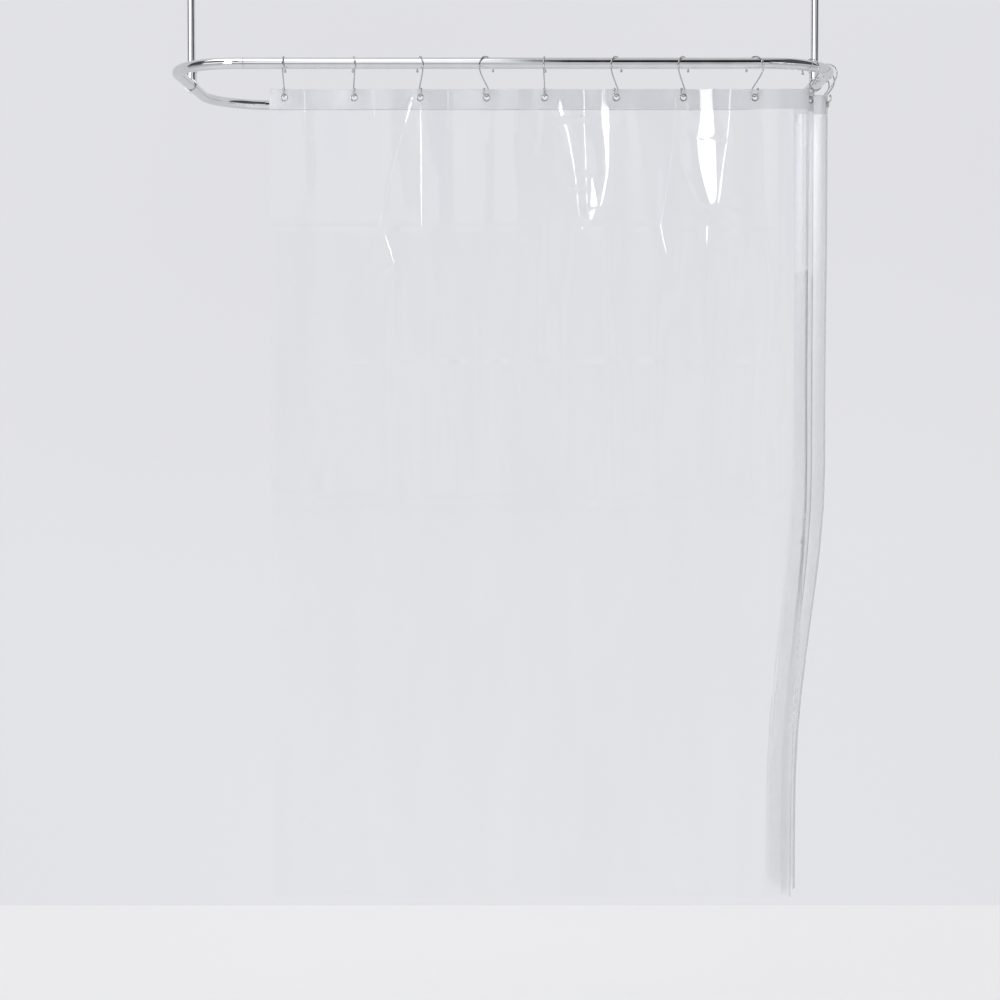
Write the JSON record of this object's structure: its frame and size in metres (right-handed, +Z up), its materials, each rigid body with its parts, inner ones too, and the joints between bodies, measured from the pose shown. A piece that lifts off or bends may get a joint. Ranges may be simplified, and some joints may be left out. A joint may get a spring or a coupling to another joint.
{
  "type": "shower curtain",
  "caption": "Clear film shower curtain with a hemmed header and metal eyelets, hung by S-hooks on a ceiling-supported rectangular hoop rail with rounded corners.",
  "frame": {"origin": "on the ceiling plane, midway between the two ceiling flanges", "axes": "+X to the right along the front run of the rail, +Y away from the front run towards the back run, +Z up; the curtain hangs in -Z"},
  "size_m": [1.564, 0.7111, 2.192],
  "materials": {
    "chrome": "polished chrome plate on round tube",
    "inner_steel": "plain drawn steel, inside the tubes",
    "screw_steel": "plain steel grub screw",
    "hook_chrome": "polished chrome wire with ball ends",
    "eyelet_nickel": "bright nickel-plated eyelet",
    "clear_film": "clear soft vinyl film, glossy, with packing creases",
    "header_film": "second layer of the same clear film welded on as a header, slightly hazy"
  },
  "bodies": {
    "rail": {"rail_front": "chrome", "rail_back": "chrome", "rail_left": "chrome", "rail_right": "chrome", "rail_joiner_front_left": "inner_steel", "rail_joiner_front_right": "inner_steel", "rail_joiner_back_left": "inner_steel", "rail_joiner_back_right": "inner_steel", "support_tube_left": "chrome", "support_tube_right": "chrome", "support_collar_left": "chrome", "support_collar_right": "chrome", "collar_set_screw_left": "screw_steel", "collar_set_screw_right": "screw_steel", "ceiling_flange_left": "chrome", "ceiling_flange_right": "chrome", "flange_set_screw_left": "screw_steel", "flange_set_screw_right": "screw_steel", "curtain_film": "clear_film", "header_band": "header_film", "grommet_09": "eyelet_nickel", "grommet_washer_09": "eyelet_nickel", "grommet_10": "eyelet_nickel", "grommet_washer_10": "eyelet_nickel", "grommet_11": "eyelet_nickel", "grommet_washer_11": "eyelet_nickel", "grommet_12": "eyelet_nickel", "grommet_washer_12": "eyelet_nickel"},
    "carriage_01": {"grommet_01": "eyelet_nickel", "grommet_washer_01": "eyelet_nickel"},
    "carriage_02": {"grommet_02": "eyelet_nickel", "grommet_washer_02": "eyelet_nickel"},
    "carriage_03": {"grommet_03": "eyelet_nickel", "grommet_washer_03": "eyelet_nickel"},
    "carriage_04": {"grommet_04": "eyelet_nickel", "grommet_washer_04": "eyelet_nickel"},
    "carriage_05": {"grommet_05": "eyelet_nickel", "grommet_washer_05": "eyelet_nickel"},
    "carriage_06": {"grommet_06": "eyelet_nickel", "grommet_washer_06": "eyelet_nickel"},
    "carriage_07": {"grommet_07": "eyelet_nickel", "grommet_washer_07": "eyelet_nickel"},
    "carriage_08": {"grommet_08": "eyelet_nickel", "grommet_washer_08": "eyelet_nickel"},
    "hook_01": {"hook_01": "hook_chrome"},
    "hook_02": {"hook_02": "hook_chrome"},
    "hook_03": {"hook_03": "hook_chrome"},
    "hook_04": {"hook_04": "hook_chrome"},
    "hook_05": {"hook_05": "hook_chrome"},
    "hook_06": {"hook_06": "hook_chrome"},
    "hook_07": {"hook_07": "hook_chrome"},
    "hook_08": {"hook_08": "hook_chrome"},
    "hook_09": {"hook_09": "hook_chrome"},
    "hook_10": {"hook_10": "hook_chrome"},
    "hook_11": {"hook_11": "hook_chrome"},
    "hook_12": {"hook_12": "hook_chrome"}
  },
  "joints": [
    {"name": "carriage_01_slide", "type": "slide", "parent": "rail", "child": "carriage_01", "axis": [1, 0, 0], "range_m": [-0.05, 0.55], "deforming": ["curtain_film", "header_band"]},
    {"name": "carriage_02_slide", "type": "slide", "parent": "rail", "child": "carriage_02", "axis": [1, 0, 0], "range_m": [-0.04743, 0.51978]},
    {"name": "carriage_03_slide", "type": "slide", "parent": "rail", "child": "carriage_03", "axis": [1, 0, 0], "range_m": [-0.04075, 0.44624]},
    {"name": "carriage_04_slide", "type": "slide", "parent": "rail", "child": "carriage_04", "axis": [1, 0, 0], "range_m": [-0.03164, 0.346]},
    {"name": "carriage_05_slide", "type": "slide", "parent": "rail", "child": "carriage_05", "axis": [1, 0, 0], "range_m": [-0.02279, 0.24866]},
    {"name": "carriage_06_slide", "type": "slide", "parent": "rail", "child": "carriage_06", "axis": [1, 0, 0], "range_m": [-0.01237, 0.13403]},
    {"name": "carriage_07_slide", "type": "slide", "parent": "rail", "child": "carriage_07", "axis": [1, 0, 0], "range_m": [-0.00467, 0.04942]},
    {"name": "carriage_08_slide", "type": "slide", "parent": "rail", "child": "carriage_08", "axis": [1, 0, 0], "range_m": [-0.00042, 0.00257]},
    {"name": "hook_01_swivel", "type": "hinge", "parent": "carriage_01", "child": "hook_01", "pos_m": [-0.4866, -0.3305, -0.305], "axis": [0, 0, 1], "range_deg": [-45, 45]},
    {"name": "hook_02_swivel", "type": "hinge", "parent": "carriage_02", "child": "hook_02", "pos_m": [-0.3315, -0.3305, -0.305], "axis": [0, 0, 1], "range_deg": [-55, 35]},
    {"name": "hook_03_swivel", "type": "hinge", "parent": "carriage_03", "child": "hook_03", "pos_m": [-0.1844, -0.3305, -0.305], "axis": [0, 0, 1], "range_deg": [-63, 27]},
    {"name": "hook_04_swivel", "type": "hinge", "parent": "carriage_04", "child": "hook_04", "pos_m": [-0.0375, -0.3305, -0.305], "axis": [0, 0, 1], "range_deg": [-5, 85]},
    {"name": "hook_05_swivel", "type": "hinge", "parent": "carriage_05", "child": "hook_05", "pos_m": [0.0917, -0.3305, -0.305], "axis": [0, 0, 1], "range_deg": [-39, 51]},
    {"name": "hook_06_swivel", "type": "hinge", "parent": "carriage_06", "child": "hook_06", "pos_m": [0.2509, -0.3305, -0.305], "axis": [0, 0, 1], "range_deg": [-12, 78]},
    {"name": "hook_07_swivel", "type": "hinge", "parent": "carriage_07", "child": "hook_07", "pos_m": [0.3996, -0.3305, -0.305], "axis": [0, 0, 1], "range_deg": [-12, 78]},
    {"name": "hook_08_swivel", "type": "hinge", "parent": "carriage_08", "child": "hook_08", "pos_m": [0.5583, -0.3305, -0.305], "axis": [0, 0, 1], "range_deg": [-90, 0]},
    {"name": "hook_09_swivel", "type": "hinge", "parent": "rail", "child": "hook_09", "pos_m": [0.68833, -0.29374, -0.305], "axis": [0, 0, 1], "range_deg": [-30, 30]},
    {"name": "hook_10_swivel", "type": "hinge", "parent": "rail", "child": "hook_10", "pos_m": [0.73748, -0.22733, -0.305], "axis": [0, 0, 1], "range_deg": [-20, 40]},
    {"name": "hook_11_swivel", "type": "hinge", "parent": "rail", "child": "hook_11", "pos_m": [0.7495, -0.13548, -0.305], "axis": [0, 0, 1], "range_deg": [-57, 33]},
    {"name": "hook_12_swivel", "type": "hinge", "parent": "rail", "child": "hook_12", "pos_m": [0.7495, -0.06048, -0.305], "axis": [0, 0, 1], "range_deg": [-31, 59]}
  ],
  "couplings": [
    {"joint": "carriage_02_slide", "follows": "carriage_01_slide", "ratio": 0.94469},
    {"joint": "carriage_03_slide", "follows": "carriage_01_slide", "ratio": 0.81098},
    {"joint": "carriage_04_slide", "follows": "carriage_01_slide", "ratio": 0.62874},
    {"joint": "carriage_05_slide", "follows": "carriage_01_slide", "ratio": 0.45175},
    {"joint": "carriage_06_slide", "follows": "carriage_01_slide", "ratio": 0.24333},
    {"joint": "carriage_07_slide", "follows": "carriage_01_slide", "ratio": 0.089495},
    {"joint": "carriage_08_slide", "follows": "carriage_01_slide", "ratio": 0.004305}
  ]
}
